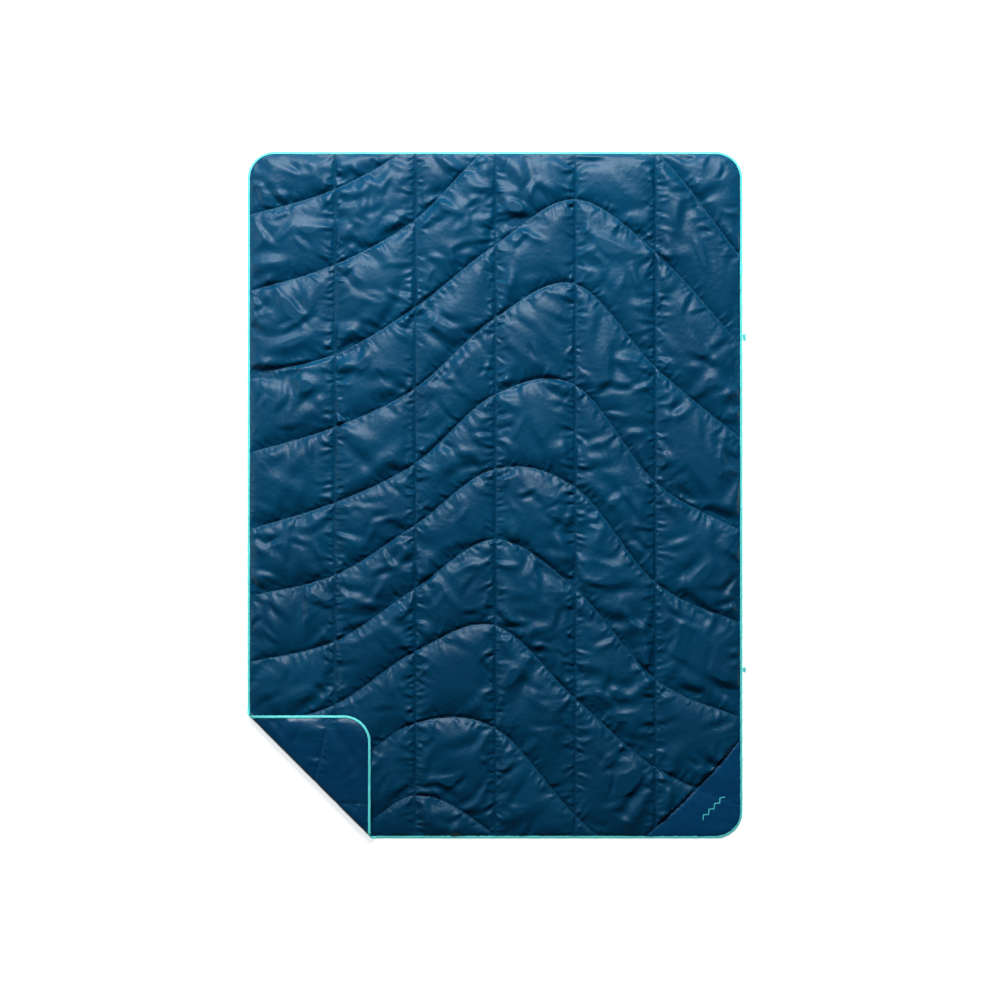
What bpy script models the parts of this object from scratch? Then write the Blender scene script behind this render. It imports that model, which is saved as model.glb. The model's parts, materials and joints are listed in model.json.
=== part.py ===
"""Quilted camp blanket lying face up, with its near left corner turned over on top.

Metres, +Z up, head end towards +Y.  Everything is drawn on the flat pattern, which lies on z = 0
with the centre seam at x = 0, and is built in layers: back cloth, fill, face cloth, thread.
The layers share one triangulation of the pattern, so they nest with an even gap.
"""
import math

import bmesh
import bpy
from mathutils import Vector
from mathutils.geometry import delaunay_2d_cdt

# Size of the blanket
WIDTH = 1.370
LENGTH = 1.900
CORNER_RADIUS = 0.075
HALF_WIDTH = WIDTH / 2
HALF_LENGTH = LENGTH / 2

# Channel seams run head to foot.  Wave seams cross them.
SEAM_PITCH = 0.2215
SEAMS = [SEAM_PITCH * step for step in (-2, -1, 0, 1, 2)]
STATIONS = [-HALF_WIDTH] + SEAMS + [HALF_WIDTH]
# Height (y) of each wave seam at the left edge, the five channel seams and the right edge.
# Heights past the head or the foot only shape the curve: the binding cuts it off.
WAVES = {
    "a": (0.772, 0.845, 0.973, 1.170, 1.280, 1.250, 1.120),
    "b": (0.561, 0.637, 0.761, 0.973, 1.042, 0.948, 0.649),
    "c": (0.331, 0.389, 0.518, 0.691, 0.817, 0.671, 0.407),
    "d": (0.115, 0.188, 0.295, 0.489, 0.583, 0.353, 0.151),
    "e": (-0.097, -0.021, 0.087, 0.278, 0.303, 0.035, -0.102),
    "f": (-0.281, -0.221, -0.083, 0.072, 0.021, -0.242, -0.358),
    "g": (-0.464, -0.404, -0.259, -0.123, -0.259, -0.509, -0.619),
    "h": (-0.646, -0.580, -0.433, -0.361, -0.563, -0.754, -0.862),
    "i": (-0.837, -0.776, -0.631, -0.645, -0.887, -1.067, -1.180),
    "j": (-1.030, -0.978, -0.831, -0.943, -1.180, -1.330, -1.430),
}
WAVE_PITCH = 0.21

# Layers, from the ground up
CLOTH = 0.0004
GAP = 0.0003
FILL_BOTTOM = CLOTH + GAP
PINCHED_FILL = 0.0006
FACE_TOP = FILL_BOTTOM + PINCHED_FILL + GAP + CLOTH
LOFT = 0.018
FLAP_LOFT_SHARE = 0.55
SEAM_SWELL = 0.060
WAVE_SWELL = 0.050
EDGE_SWELL = 0.050

# Sewing
THREAD_WIDTH = 0.0012
THREAD_HEIGHT = 0.0006
WAVE_THREAD_Z = FACE_TOP + 0.0005
SEAM_THREAD_Z = WAVE_THREAD_Z + THREAD_HEIGHT + GAP
BINDING_WIDTH = 0.008
BINDING_STEP = 0.090
BINDING_TOP = FACE_TOP + 0.0008
FLAT_EDGE = BINDING_WIDTH + GAP

# Turned corner: the fold runs at 45 degrees across the near left corner
FOLD_LEG = 0.345
FOLD_SUM = -HALF_WIDTH - HALF_LENGTH + FOLD_LEG
FOLD_Z = FACE_TOP + LOFT * (1 + FLAP_LOFT_SHARE) / 2 + 0.0002
SPLIT = 0.0002
FLAP_BACK_Z = 2 * FOLD_Z
HALF_FOLD_Z = (FLAP_BACK_Z + FACE_TOP + LOFT) / 2 + 0.0002

# Corner patch at the near right corner, sewn along a slightly hollow line
PATCH_HEAD_END = Vector((HALF_WIDTH, -0.668))
PATCH_FOOT_END = Vector((0.408, -HALF_LENGTH))
PATCH_HOLLOW = 0.010
PATCH_HEM = 0.007
PATCH_RAMP = 0.028
PATCH_LOFT = 0.006
PATCH_CLOTH = 0.0003
PATCH_STITCH_OFFSETS = {"patch_stitch_outer": 0.002, "patch_stitch_inner": 0.005}
MOTIF_PEAKS = 4
MOTIF_LENGTH = 0.088
MOTIF_RISE = 0.009
MOTIF_STROKE = 0.0035
MOTIF_DEPTH = 0.073

# Tabs on the right edge, the two halves of a small clip
TAB_GAP = 0.0009
TAB_AXIS = 0.0010
TAB_AXIS_Z = 0.0010
WEBBING_THICKNESS = 0.0012
WEBBING_REACH = 0.0050
CLIP_REACH = 0.0090
CLIP_HEIGHT = 0.0028
UPPER_TAB = {"name": "upper", "y": 0.436, "webbing": 0.018, "clip": 0.025, "waist": 0.015}
LOWER_TAB = {"name": "lower", "y": -0.483, "webbing": 0.012, "clip": 0.018, "waist": 0.018}

# Fineness
ARC_STEPS = 5
STATION_STEPS = 4
ROW_SHARES = (0.28, 0.72)
CUT_STEPS = 8
ON_LINE = 0.00001

# The origin is the middle of the whole thing seen from above, clips included
CENTRE_SHIFT = Vector((-CLIP_REACH / 2, 0, 0))

COLOURS = {
    "face_nylon": ((0.006, 0.075, 0.150), 0.36),
    "back_nylon": ((0.004, 0.060, 0.120), 0.42),
    "fill_fibre": ((0.800, 0.800, 0.780), 0.95),
    "binding_tape": ((0.130, 0.740, 0.700), 0.65),
    "thread": ((0.010, 0.090, 0.150), 0.60),
    "patch_nylon": ((0.004, 0.070, 0.140), 0.45),
    "print_ink": ((0.080, 0.560, 0.560), 0.50),
    "tab_webbing": ((0.060, 0.500, 0.500), 0.70),
    "clip_plastic": ((0.050, 0.450, 0.460), 0.40),
}


def clear_scene():
    for thing in list(bpy.data.objects):
        bpy.data.objects.remove(thing, do_unlink=True)


def make_material(name):
    colour, roughness = COLOURS[name]
    material = bpy.data.materials.new(name)
    material.use_nodes = True
    shader = material.node_tree.nodes["Principled BSDF"]
    shader.inputs["Base Color"].default_value = (*colour, 1)
    shader.inputs["Roughness"].default_value = roughness
    shader.inputs["Metallic"].default_value = 0
    return material


def make_empty(name, place, parent=None):
    empty = bpy.data.objects.new(name, None)
    bpy.context.collection.objects.link(empty)
    empty.location = place - (parent.location if parent else Vector())
    empty.parent = parent
    empty["place"] = place
    return empty


def add_piece(name, bm, material, pivot):
    """Turn a bmesh drawn on the flat pattern into an object that hangs on its pivot."""
    bmesh.ops.recalc_face_normals(bm, faces=bm.faces)
    if bm.calc_volume(signed=True) < 0:
        bmesh.ops.reverse_faces(bm, faces=bm.faces)
    bmesh.ops.translate(bm, verts=bm.verts, vec=CENTRE_SHIFT - Vector(pivot["place"]))
    mesh = bpy.data.meshes.new(name)
    bm.to_mesh(mesh)
    bm.free()
    mesh.materials.append(material)
    piece = bpy.data.objects.new(name, mesh)
    bpy.context.collection.objects.link(piece)
    piece.parent = pivot
    return piece


def wave_at(heights, x):
    """Smooth curve through a wave seam's heights (cubic, with the slopes of its neighbours)."""
    last = len(STATIONS) - 1

    def slope(i):
        low, high = max(i - 1, 0), min(i + 1, last)
        return (heights[high] - heights[low]) / (STATIONS[high] - STATIONS[low])

    i = 0
    while i < last - 1 and x > STATIONS[i + 1]:
        i += 1
    span = STATIONS[i + 1] - STATIONS[i]
    t = (x - STATIONS[i]) / span
    return ((2 * t ** 3 - 3 * t ** 2 + 1) * heights[i] + (t ** 3 - 2 * t ** 2 + t) * span * slope(i)
            + (3 * t ** 2 - 2 * t ** 3) * heights[i + 1] + (t ** 3 - t ** 2) * span * slope(i + 1))


def column_places():
    """The x of every column of points: the channel seams and even steps between them."""
    places = []
    for left, right in zip(STATIONS, STATIONS[1:]):
        places += [left + (right - left) * step / STATION_STEPS for step in range(STATION_STEPS)]
    return places + [HALF_WIDTH]


def wave_gap(heights, x, y):
    """Distance from a point to a wave seam's straight run between two columns, square to it."""
    columns = column_places()
    i = min(sum(x > place for place in columns[1:]), len(columns) - 2)
    left, right = columns[i], columns[i + 1]
    start, end = wave_at(heights, left), wave_at(heights, right)
    slope = (end - start) / (right - left)
    return abs(y - start - slope * (x - left)) / math.hypot(1, slope)


def margin(x, y):
    """Distance inside the blanket's rounded outline, negative outside it."""
    dx = abs(x) - HALF_WIDTH + CORNER_RADIUS
    dy = abs(y) - HALF_LENGTH + CORNER_RADIUS
    return CORNER_RADIUS - math.hypot(max(dx, 0), max(dy, 0)) - min(max(dx, dy), 0)


def patch_line(share, inset=0.0):
    """A point on the patch's hollow sewing line, moved inwards by inset."""
    along = (PATCH_HEAD_END - PATCH_FOOT_END).normalized()
    inward = Vector((along.y, -along.x))
    bow = PATCH_HOLLOW * 4 * share * (1 - share)
    return PATCH_FOOT_END.lerp(PATCH_HEAD_END, share) + inward * (bow + inset)


def patch_depth(x, y):
    """Distance inside the patch's sewing line, negative on the quilted side."""
    chord = PATCH_HEAD_END - PATCH_FOOT_END
    away = Vector((x, y)) - PATCH_FOOT_END
    share = away.dot(chord) / chord.length_squared
    depth = (away.x * chord.y - away.y * chord.x) / chord.length
    return depth - PATCH_HOLLOW * 4 * share * (1 - share)


def swell(t):
    """Quarter-circle rise from 0 at a seam to 1 where the chamber is full."""
    return math.sqrt(1 - (1 - min(max(t, 0), 1)) ** 2)


def puff(x, y):
    """How far the face cloth stands above the seams."""
    depth = patch_depth(x, y)
    edge = margin(x, y) - FLAT_EDGE
    if depth >= -ON_LINE:
        return PATCH_LOFT * swell(min(depth - PATCH_HEM, edge) / PATCH_RAMP)
    seam = min(abs(x - place) for place in SEAMS)
    wave = min(wave_gap(heights, x, y) for heights in WAVES.values())
    rise = swell(edge / EDGE_SWELL) * swell(seam / SEAM_SWELL) * swell(wave / WAVE_SWELL)
    return LOFT * rise * swell(-depth / EDGE_SWELL)


def corner_arcs():
    """Centre and outward unit vectors of each rounded corner, from the head right corner round."""
    arcs = []
    for quarter, (sx, sy) in enumerate(((1, 1), (-1, 1), (-1, -1), (1, -1))):
        centre = Vector((sx * (HALF_WIDTH - CORNER_RADIUS), sy * (HALF_LENGTH - CORNER_RADIUS)))
        angles = [math.pi / 2 * (quarter + step / ARC_STEPS) for step in range(ARC_STEPS + 1)]
        arcs.append((centre, [Vector((math.cos(angle), math.sin(angle))) for angle in angles]))
    return arcs


def rounded_outline(inset):
    return [centre + (CORNER_RADIUS - inset) * out for centre, outward in corner_arcs() for out in outward]


def triangulate_pattern():
    """One triangulation of the flat pattern, with an edge along every seam, edge and fold."""
    points, lines = [], []

    def add_line(path, closed=False):
        first = len(points)
        points.extend(path)
        lines.extend((first + i, first + i + 1) for i in range(len(path) - 1))
        if closed:
            lines.append((len(points) - 1, first))

    add_line(rounded_outline(FLAT_EDGE), closed=True)
    for x in SEAMS:
        add_line([Vector((x, -HALF_LENGTH)), Vector((x, HALF_LENGTH))])
    add_line([Vector((-HALF_WIDTH, FOLD_SUM + HALF_WIDTH)), Vector((FOLD_SUM + HALF_LENGTH, -HALF_LENGTH))])
    for inset in (0, PATCH_HEM, PATCH_HEM + PATCH_RAMP):
        add_line([patch_line(share / 4, inset) for share in range(-1 if inset else 0, 6 if inset else 5)])
    columns = column_places()
    for heights in WAVES.values():
        path = [Vector((x, wave_at(heights, x))) for x in columns]
        add_line([p for p in path if abs(p.y) < HALF_LENGTH + WAVE_PITCH / 2 and patch_depth(*p) < 0.02])
    rows = list(WAVES.values())
    rows = ([[y + WAVE_PITCH for y in rows[0]]] + rows
            + [[y - WAVE_PITCH * step for y in rows[-1]] for step in (1, 2)])
    for upper, lower in zip(rows, rows[1:]):
        for share in ROW_SHARES:
            for x in columns:
                y = wave_at(upper, x) * (1 - share) + wave_at(lower, x) * share
                if margin(x, y) > FLAT_EDGE * 2 and patch_depth(x, y) < -PATCH_RAMP / 2:
                    points.append(Vector((x, y)))
    verts, _, faces, *_ = delaunay_2d_cdt(points, lines, [], 0, ON_LINE / 10)
    centres = [sum((verts[i] for i in face), Vector((0, 0))) / 3 for face in faces]
    return verts, [(face, centre) for face, centre in zip(faces, centres)
                   if margin(*centre) > FLAT_EDGE]


def in_corner(p):
    return p.x + p.y < FOLD_SUM


def in_left(p):
    return p.x < 0 and not in_corner(p)


def in_right(p):
    return p.x > 0


def in_patch(p):
    return patch_depth(*p) > 0


def split_point(point, centre):
    """Draw a point on the centre seam or the fold back a little, to its own side."""
    x, y = point
    if abs(x) < ON_LINE:
        x += math.copysign(SPLIT, centre.x)
    if abs(x + y - FOLD_SUM) < ON_LINE * 4:
        side = math.copysign(SPLIT, centre.x + centre.y - FOLD_SUM)
        x, y = x + side, y + side
    return x, y


def layer(pattern, keep, top, bottom, seam_split=False):
    """A closed sheet over the pattern's chosen triangles, from bottom to top."""
    verts, faces = pattern
    chosen = [(face, centre) for face, centre in faces if keep(centre)]
    middle = sum((centre for _, centre in chosen), Vector((0, 0))) / len(chosen)
    bm = bmesh.new()
    made = {}

    def vertex(i, height, tag):
        if (i, tag) not in made:
            x, y = split_point(verts[i], middle)
            if seam_split:
                for place in SEAMS:
                    if abs(verts[i].x - place) < ON_LINE and place != 0:
                        x += math.copysign(SPLIT, middle.x - place)
            made[i, tag] = bm.verts.new((x, y, height(*verts[i])))
        return made[i, tag]

    for face, _ in chosen:
        bm.faces.new([vertex(i, top, "top") for i in face])
        bm.faces.new([vertex(i, bottom, "bottom") for i in reversed(face)])
    border = [edge for edge in bm.edges if edge.is_boundary]
    partner = {vert: made[i, "bottom" if tag == "top" else "top"] for (i, tag), vert in made.items()}
    tops = {vert for (i, tag), vert in made.items() if tag == "top"}
    for edge in border:
        a, b = edge.verts
        if a in tops:
            bm.faces.new([b, a, partner[a], partner[b]])
    return bm


def flatten(bm):
    """Merge the triangles of flat faces, which keeps a flat layer light."""
    bmesh.ops.dissolve_limit(bm, angle_limit=math.radians(0.05), verts=bm.verts, edges=bm.edges,
                             use_dissolve_boundaries=False)
    bmesh.ops.triangulate(bm, faces=[face for face in bm.faces if len(face.verts) > 4])
    return bm


def ribbon(path, bottom, width=THREAD_WIDTH, height=THREAD_HEIGHT):
    """A flat strip of thread along a path on the pattern."""
    bm = bmesh.new()
    rings = []
    for i, point in enumerate(path):
        ahead = path[min(i + 1, len(path) - 1)] - path[max(i - 1, 0)]
        side = Vector((-ahead.y, ahead.x)).normalized() * width / 2
        corners = [(point + side, bottom), (point - side, bottom),
                   (point - side, bottom + height), (point + side, bottom + height)]
        rings.append([bm.verts.new((p.x, p.y, z)) for p, z in corners])
    for a, b in zip(rings, rings[1:]):
        for k in range(4):
            bm.faces.new([a[k], a[(k + 1) % 4], b[(k + 1) % 4], b[k]])
    bm.faces.new(rings[0][::-1])
    bm.faces.new(rings[-1])
    return bm


def cut_path(path, keep):
    """The stretch of a path where keep holds, with its ends found by halving."""
    kept = [path[0]] if keep(path[0]) else []
    for start, end in zip(path, path[1:]):
        steps = [start.lerp(end, step / CUT_STEPS) for step in range(CUT_STEPS + 1)]
        for a, b in zip(steps, steps[1:]):
            if keep(a) != keep(b):
                low, high = (a, b) if keep(a) else (b, a)
                for _ in range(20):
                    mid = (low + high) / 2
                    low, high = (mid, high) if keep(mid) else (low, mid)
                kept.append(low)
        if keep(end):
            kept.append(end)
    return [p for i, p in enumerate(kept) if i == 0 or (p - kept[i - 1]).length > 0.002]


def clear_of_edges(p):
    clear_patch = patch_depth(*p) < -0.003
    return margin(*p) > FLAT_EDGE + 0.001 and clear_patch and abs(p.x) > 0.001


def build_cloths(pattern, finish, pivots):
    regions = {"left": in_left, "right": in_right, "corner": in_corner}
    for side, region in regions.items():
        share = FLAP_LOFT_SHARE if side == "corner" else 1

        def face_top(x, y, share=share):
            return FACE_TOP + share * puff(x, y)

        def face_bottom(x, y, share=share):
            return face_top(x, y, share) - CLOTH

        sheet = layer(pattern, region, face_top, face_bottom)
        add_piece(f"face_cloth_{side}", sheet, finish["face_nylon"], pivots[side])

        sheet = layer(pattern, region, lambda x, y: CLOTH, lambda x, y: 0)
        add_piece(f"back_cloth_{side}", flatten(sheet), finish["back_nylon"], pivots[side])


def build_fill(pattern, finish, pivots):
    def fill(name, low, high, region, share, pivot):
        def top(x, y):
            return FACE_TOP - CLOTH - GAP + share * puff(x, y)

        def keep(p):
            return low < p.x < high and region(p)

        block = layer(pattern, keep, top, lambda x, y: FILL_BOTTOM, seam_split=True)
        bmesh.ops.dissolve_limit(block, angle_limit=math.radians(0.05), verts=block.verts, edges=block.edges)
        bmesh.ops.triangulate(block, faces=[face for face in block.faces if len(face.verts) > 4])
        add_piece(name, block, finish["fill_fibre"], pivot)

    for number, (low, high) in enumerate(zip(STATIONS, STATIONS[1:]), start=1):
        region, side = (in_left, "left") if high <= ON_LINE else (in_right, "right")
        fill(f"fill_channel_{number}", low, high, region, 1, pivots[side])
    fill("fill_corner_outer", STATIONS[0], STATIONS[1], in_corner, FLAP_LOFT_SHARE, pivots["corner"])
    fill("fill_corner_inner", STATIONS[1], STATIONS[2], in_corner, FLAP_LOFT_SHARE, pivots["corner"])


def build_threads(finish, pivots):
    sides = {
        "left": lambda p: p.x < 0 and p.x + p.y > FOLD_SUM + 0.003,
        "right": lambda p: p.x > 0,
        "corner": lambda p: p.x + p.y < FOLD_SUM - 0.003,
    }
    for letter, heights in WAVES.items():
        path = [Vector((x, wave_at(heights, x))) for x in column_places()]
        for side, region in sides.items():
            line = cut_path(path, lambda p, region=region: region(p) and clear_of_edges(p))
            if len(line) > 1:
                thread = ribbon(line, WAVE_THREAD_Z)
                add_piece(f"wave_stitch_{letter}_{side}", thread, finish["thread"], pivots[side])
    for number, x in enumerate(SEAMS, start=1):
        for side, region in sides.items():
            place = x or {"left": -0.002, "right": 0.002, "corner": -0.002}[side]
            ends = [Vector((place, -HALF_LENGTH)), Vector((place, 0)), Vector((place, HALF_LENGTH))]
            line = cut_path(ends, lambda p, region=region: region(p) and clear_of_edges(p))
            if len(line) > 1:
                thread = ribbon([line[0], line[-1]], SEAM_THREAD_Z)
                add_piece(f"channel_stitch_{number}_{side}", thread, finish["thread"], pivots[side])


def binding_profile():
    """The folded tape with the raw edges in it: (distance in from the outline, height)."""
    return [(0, 0), (BINDING_WIDTH, 0), (BINDING_WIDTH, BINDING_TOP), (0, BINDING_TOP)]


def stepped(path):
    """The path with its long straight runs divided, so that no face is a sliver."""
    steps = [path[0]]
    for (a, _), (b, inward) in zip(path, path[1:]):
        count = math.ceil((b - a).length / BINDING_STEP)
        turned = steps[-1][1]
        steps += [(a.lerp(b, k / count), turned if k < count else inward) for k in range(1, count + 1)]
    return steps


def binding(path):
    """Sweep the tape along a stretch of the outline: pairs of outline point and inward unit."""
    bm = bmesh.new()
    rings = []
    for point, inward in stepped(path):
        rings.append([bm.verts.new((point.x + inward.x * d, point.y + inward.y * d, z))
                      for d, z in binding_profile()])
    count = len(rings[0])
    for a, b in zip(rings, rings[1:]):
        for k in range(count):
            bm.faces.new([a[k], a[(k + 1) % count], b[(k + 1) % count], b[k]])
    bm.faces.new(rings[0][::-1])
    bm.faces.new(rings[-1])
    return bm


def build_binding(finish, pivots):
    arcs = [[(centre + CORNER_RADIUS * out, -out) for out in outward] for centre, outward in corner_arcs()]
    head_right, head_left, foot_left, foot_right = arcs
    down, up, right = Vector((0, -1)), Vector((0, 1)), Vector((1, 0))
    fold_side_y = FOLD_SUM + HALF_WIDTH
    fold_foot_x = FOLD_SUM + HALF_LENGTH
    reach = BINDING_WIDTH + SPLIT * 2
    paths = {
        "binding_right": [(Vector((SPLIT, -HALF_LENGTH)), up)] + foot_right + head_right
                         + [(Vector((SPLIT, HALF_LENGTH)), down)],
        "binding_left": [(Vector((-SPLIT, HALF_LENGTH)), down)] + head_left
                        + [(Vector((-HALF_WIDTH, fold_side_y + SPLIT * 2)), right)],
        "binding_foot": [(Vector((-SPLIT, -HALF_LENGTH)), up),
                         (Vector((fold_foot_x + SPLIT * 2, -HALF_LENGTH)), up)],
        "binding_corner": [(Vector((-HALF_WIDTH, fold_side_y - reach)), right)] + foot_left
                          + [(Vector((fold_foot_x - reach, -HALF_LENGTH)), up)],
    }
    bodies = {"binding_right": "right", "binding_left": "left", "binding_foot": "left",
              "binding_corner": "corner"}
    for name, path in paths.items():
        add_piece(name, binding(path), finish["binding_tape"], pivots[bodies[name]])


def build_patch(pattern, finish, pivot):
    def bottom(x, y):
        return FACE_TOP + puff(x, y) + GAP

    def top(x, y):
        return bottom(x, y) + PATCH_CLOTH

    add_piece("corner_patch", layer(pattern, in_patch, top, bottom), finish["patch_nylon"], pivot)
    for name, inset in PATCH_STITCH_OFFSETS.items():
        path = [patch_line(share / 4, inset) for share in range(5)]
        line = cut_path(path, lambda p: margin(*p) > FLAT_EDGE + 0.001)
        height = FACE_TOP + GAP * 2 + PATCH_CLOTH
        add_piece(name, ribbon(line, height, height=GAP), finish["thread"], pivot)
    build_motif(finish, pivot)


def build_motif(finish, pivot):
    """A plain zigzag print that runs parallel to the patch's sewing line."""
    along = (PATCH_HEAD_END - PATCH_FOOT_END).normalized()
    inward = Vector((along.y, -along.x))
    middle = patch_line(0.5, MOTIF_DEPTH)
    path = []
    for step in range(2 * MOTIF_PEAKS + 1):
        share = step / (2 * MOTIF_PEAKS) - 0.5
        rise = MOTIF_RISE if step % 2 else 0
        path.append(middle + along * MOTIF_LENGTH * share - inward * rise)
    level = FACE_TOP + PATCH_LOFT + GAP * 2 + PATCH_CLOTH
    add_piece("patch_motif", ribbon(path, level, width=MOTIF_STROKE, height=GAP),
              finish["print_ink"], pivot)


def slab(outline, low, high):
    bm = bmesh.new()
    bottom = [bm.verts.new((p[0], p[1], low)) for p in outline]
    face = bm.faces.new(bottom)
    grown = bmesh.ops.extrude_face_region(bm, geom=[face])
    lifted = [item for item in grown["geom"] if isinstance(item, bmesh.types.BMVert)]
    bmesh.ops.translate(bm, verts=lifted, vec=(0, 0, high - low))
    bmesh.ops.triangulate(bm, faces=[f for f in bm.faces if len(f.verts) > 4])
    return bm


def build_tab(tab, finish, pivot):
    """Short webbing with one half of a moulded clip at its end."""
    start = HALF_WIDTH + TAB_GAP
    end = HALF_WIDTH + WEBBING_REACH
    y, half = tab["y"], tab["webbing"] / 2
    outline = [(start, y - half), (end, y - half), (end, y + half), (start, y + half)]
    low = TAB_AXIS_Z - WEBBING_THICKNESS / 2
    webbing = slab(outline, low, low + WEBBING_THICKNESS)
    add_piece(f"{tab['name']}_tab_webbing", webbing, finish["tab_webbing"], pivot)
    near, far = end + GAP, HALF_WIDTH + CLIP_REACH
    wide, waist = tab["clip"] / 2, tab["waist"] / 2
    middle = (near + far) / 2
    outline = [(near, y - wide), (middle, y - waist), (far, y - wide), (far, y + wide),
               (middle, y + waist), (near, y + wide)]
    if waist == wide:
        outline = [(near, y - wide), (middle, y - wide), (far, y - wide * 0.6), (far, y + wide * 0.6),
                   (middle, y + wide), (near, y + wide)]
    add_piece(f"{tab['name']}_clip_half", slab(outline, 0, CLIP_HEIGHT), finish["clip_plastic"], pivot)


def make_pivots():
    """An empty on each joint's axis.  The corner's is turned half round: the corner is folded over."""
    ground = make_empty("ground", Vector())
    fold_middle = Vector((FOLD_SUM + HALF_LENGTH - HALF_WIDTH, FOLD_SUM - HALF_LENGTH + HALF_WIDTH, 0)) / 2
    corner = make_empty("corner_fold_axis", fold_middle + CENTRE_SHIFT + Vector((0, 0, FOLD_Z)), ground)
    corner.rotation_mode = "AXIS_ANGLE"
    corner.rotation_axis_angle = (math.pi, math.sqrt(0.5), -math.sqrt(0.5), 0)
    half = make_empty("half_fold_axis", CENTRE_SHIFT + Vector((0, 0, HALF_FOLD_Z)), ground)
    pivots = {"left": ground, "corner": corner, "right": half}
    for tab in (UPPER_TAB, LOWER_TAB):
        place = Vector((HALF_WIDTH + TAB_AXIS, tab["y"], TAB_AXIS_Z)) + CENTRE_SHIFT
        axis = make_empty(f"{tab['name']}_tab_axis", place, ground)
        axis.parent = half
        axis.location = place - half.location
        pivots[tab["name"]] = axis
    return pivots


def main():
    clear_scene()
    finish = {name: make_material(name) for name in COLOURS}
    pivots = make_pivots()
    bpy.context.view_layer.update()
    pattern = triangulate_pattern()
    build_cloths(pattern, finish, pivots)
    build_fill(pattern, finish, pivots)
    build_threads(finish, pivots)
    build_binding(finish, pivots)
    build_patch(pattern, finish, pivots["right"])
    for tab in (UPPER_TAB, LOWER_TAB):
        build_tab(tab, finish, pivots[tab["name"]])


main()
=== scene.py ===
"""Looks of the quilted camp blanket: simulated face cloth, back cloth, stitches, tape, patch and clips.

Everything is first made on the flat pattern (centre seam at x = 0, metres), then the near left
corner is bent over its fold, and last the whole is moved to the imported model's place.
"""
import json
import math

import bmesh
import bpy
import numpy as np
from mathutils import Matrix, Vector, kdtree
from mathutils.bvhtree import BVHTree
from mathutils.geometry import delaunay_2d_cdt


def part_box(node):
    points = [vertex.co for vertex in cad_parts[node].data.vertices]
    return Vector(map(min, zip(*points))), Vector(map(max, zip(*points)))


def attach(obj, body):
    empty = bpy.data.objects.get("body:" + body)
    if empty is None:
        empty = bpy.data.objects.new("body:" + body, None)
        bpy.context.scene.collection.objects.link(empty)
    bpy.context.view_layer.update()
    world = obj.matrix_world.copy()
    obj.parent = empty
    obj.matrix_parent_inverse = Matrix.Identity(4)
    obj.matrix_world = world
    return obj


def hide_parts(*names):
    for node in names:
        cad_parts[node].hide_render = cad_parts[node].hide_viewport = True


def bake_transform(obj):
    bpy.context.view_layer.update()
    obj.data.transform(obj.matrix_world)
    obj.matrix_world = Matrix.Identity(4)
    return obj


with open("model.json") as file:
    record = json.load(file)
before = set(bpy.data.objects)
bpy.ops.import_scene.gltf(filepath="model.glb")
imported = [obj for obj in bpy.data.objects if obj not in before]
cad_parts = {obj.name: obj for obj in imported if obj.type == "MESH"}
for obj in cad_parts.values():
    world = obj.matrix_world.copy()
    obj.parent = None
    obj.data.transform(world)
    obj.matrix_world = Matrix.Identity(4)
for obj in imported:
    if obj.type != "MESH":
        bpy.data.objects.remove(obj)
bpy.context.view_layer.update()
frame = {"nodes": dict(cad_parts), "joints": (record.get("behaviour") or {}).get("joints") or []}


def joint(name):
    """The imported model's joint of this name."""
    return next(j for j in frame["joints"] if j["name"] == name)


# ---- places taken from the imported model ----
CENTRE_X = joint("half_fold")["pos_m"][0]
HALF_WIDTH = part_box("binding_right")[1][0] - CENTRE_X
HALF_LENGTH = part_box("binding_right")[1][1]
FOLD_PLACE = joint("corner_fold")["pos_m"]
FOLD_SUM = FOLD_PLACE[0] - CENTRE_X + FOLD_PLACE[1]
FOLD_Z = FOLD_PLACE[2]

CAMERA_HEIGHT = 6.47

# ---- the quilting, as it was sewn ----
CORNER_RADIUS = 0.075
SEAM_PITCH = 0.2215
SEAMS = SEAM_PITCH * np.arange(-2, 3)
STATIONS = np.array([-HALF_WIDTH, *SEAMS, HALF_WIDTH])
WAVES = {
    "a": (0.772, 0.845, 0.973, 1.170, 1.280, 1.250, 1.120),
    "b": (0.561, 0.637, 0.761, 0.973, 1.042, 0.948, 0.649),
    "c": (0.331, 0.389, 0.518, 0.691, 0.817, 0.671, 0.407),
    "d": (0.115, 0.188, 0.295, 0.489, 0.583, 0.353, 0.151),
    "e": (-0.097, -0.021, 0.087, 0.278, 0.303, 0.035, -0.102),
    "f": (-0.281, -0.221, -0.083, 0.072, 0.021, -0.242, -0.358),
    "g": (-0.464, -0.404, -0.259, -0.123, -0.259, -0.509, -0.619),
    "h": (-0.646, -0.580, -0.433, -0.361, -0.563, -0.754, -0.862),
    "i": (-0.837, -0.776, -0.631, -0.645, -0.887, -1.067, -1.180),
    "j": (-1.030, -0.978, -0.831, -0.943, -1.180, -1.330, -1.430),
}
PATCH_HEAD_END = np.array((HALF_WIDTH, -0.668))
PATCH_FOOT_END = np.array((0.408, -HALF_LENGTH))
PATCH_HOLLOW = 0.010
PATCH_HEM = 0.007

# ---- cloth ----
POINT_PITCH = 0.0065  # between the cloth's points
EDGE_SEAM = 0.0066  # the face cloth ends here, under the inner edge of the tape
SEAM_FACE_Z = 0.0036  # heights of the two cloths where they are sewn together
SEAM_BACK_Z = 0.0024
EXCESS_ACROSS = 0.020  # spare cloth, as a share of the flat size
EXCESS_ALONG = 0.090
GATHER_NOISE = 0.0025  # unevenness of the spare cloth beside a seam
GATHER_REACH = 0.040
SIM_FRAMES = 22
PRESSURE = 4.0
START_RISE = 0.012  # of the chambers before they are blown up
START_REACH = 0.08

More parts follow.
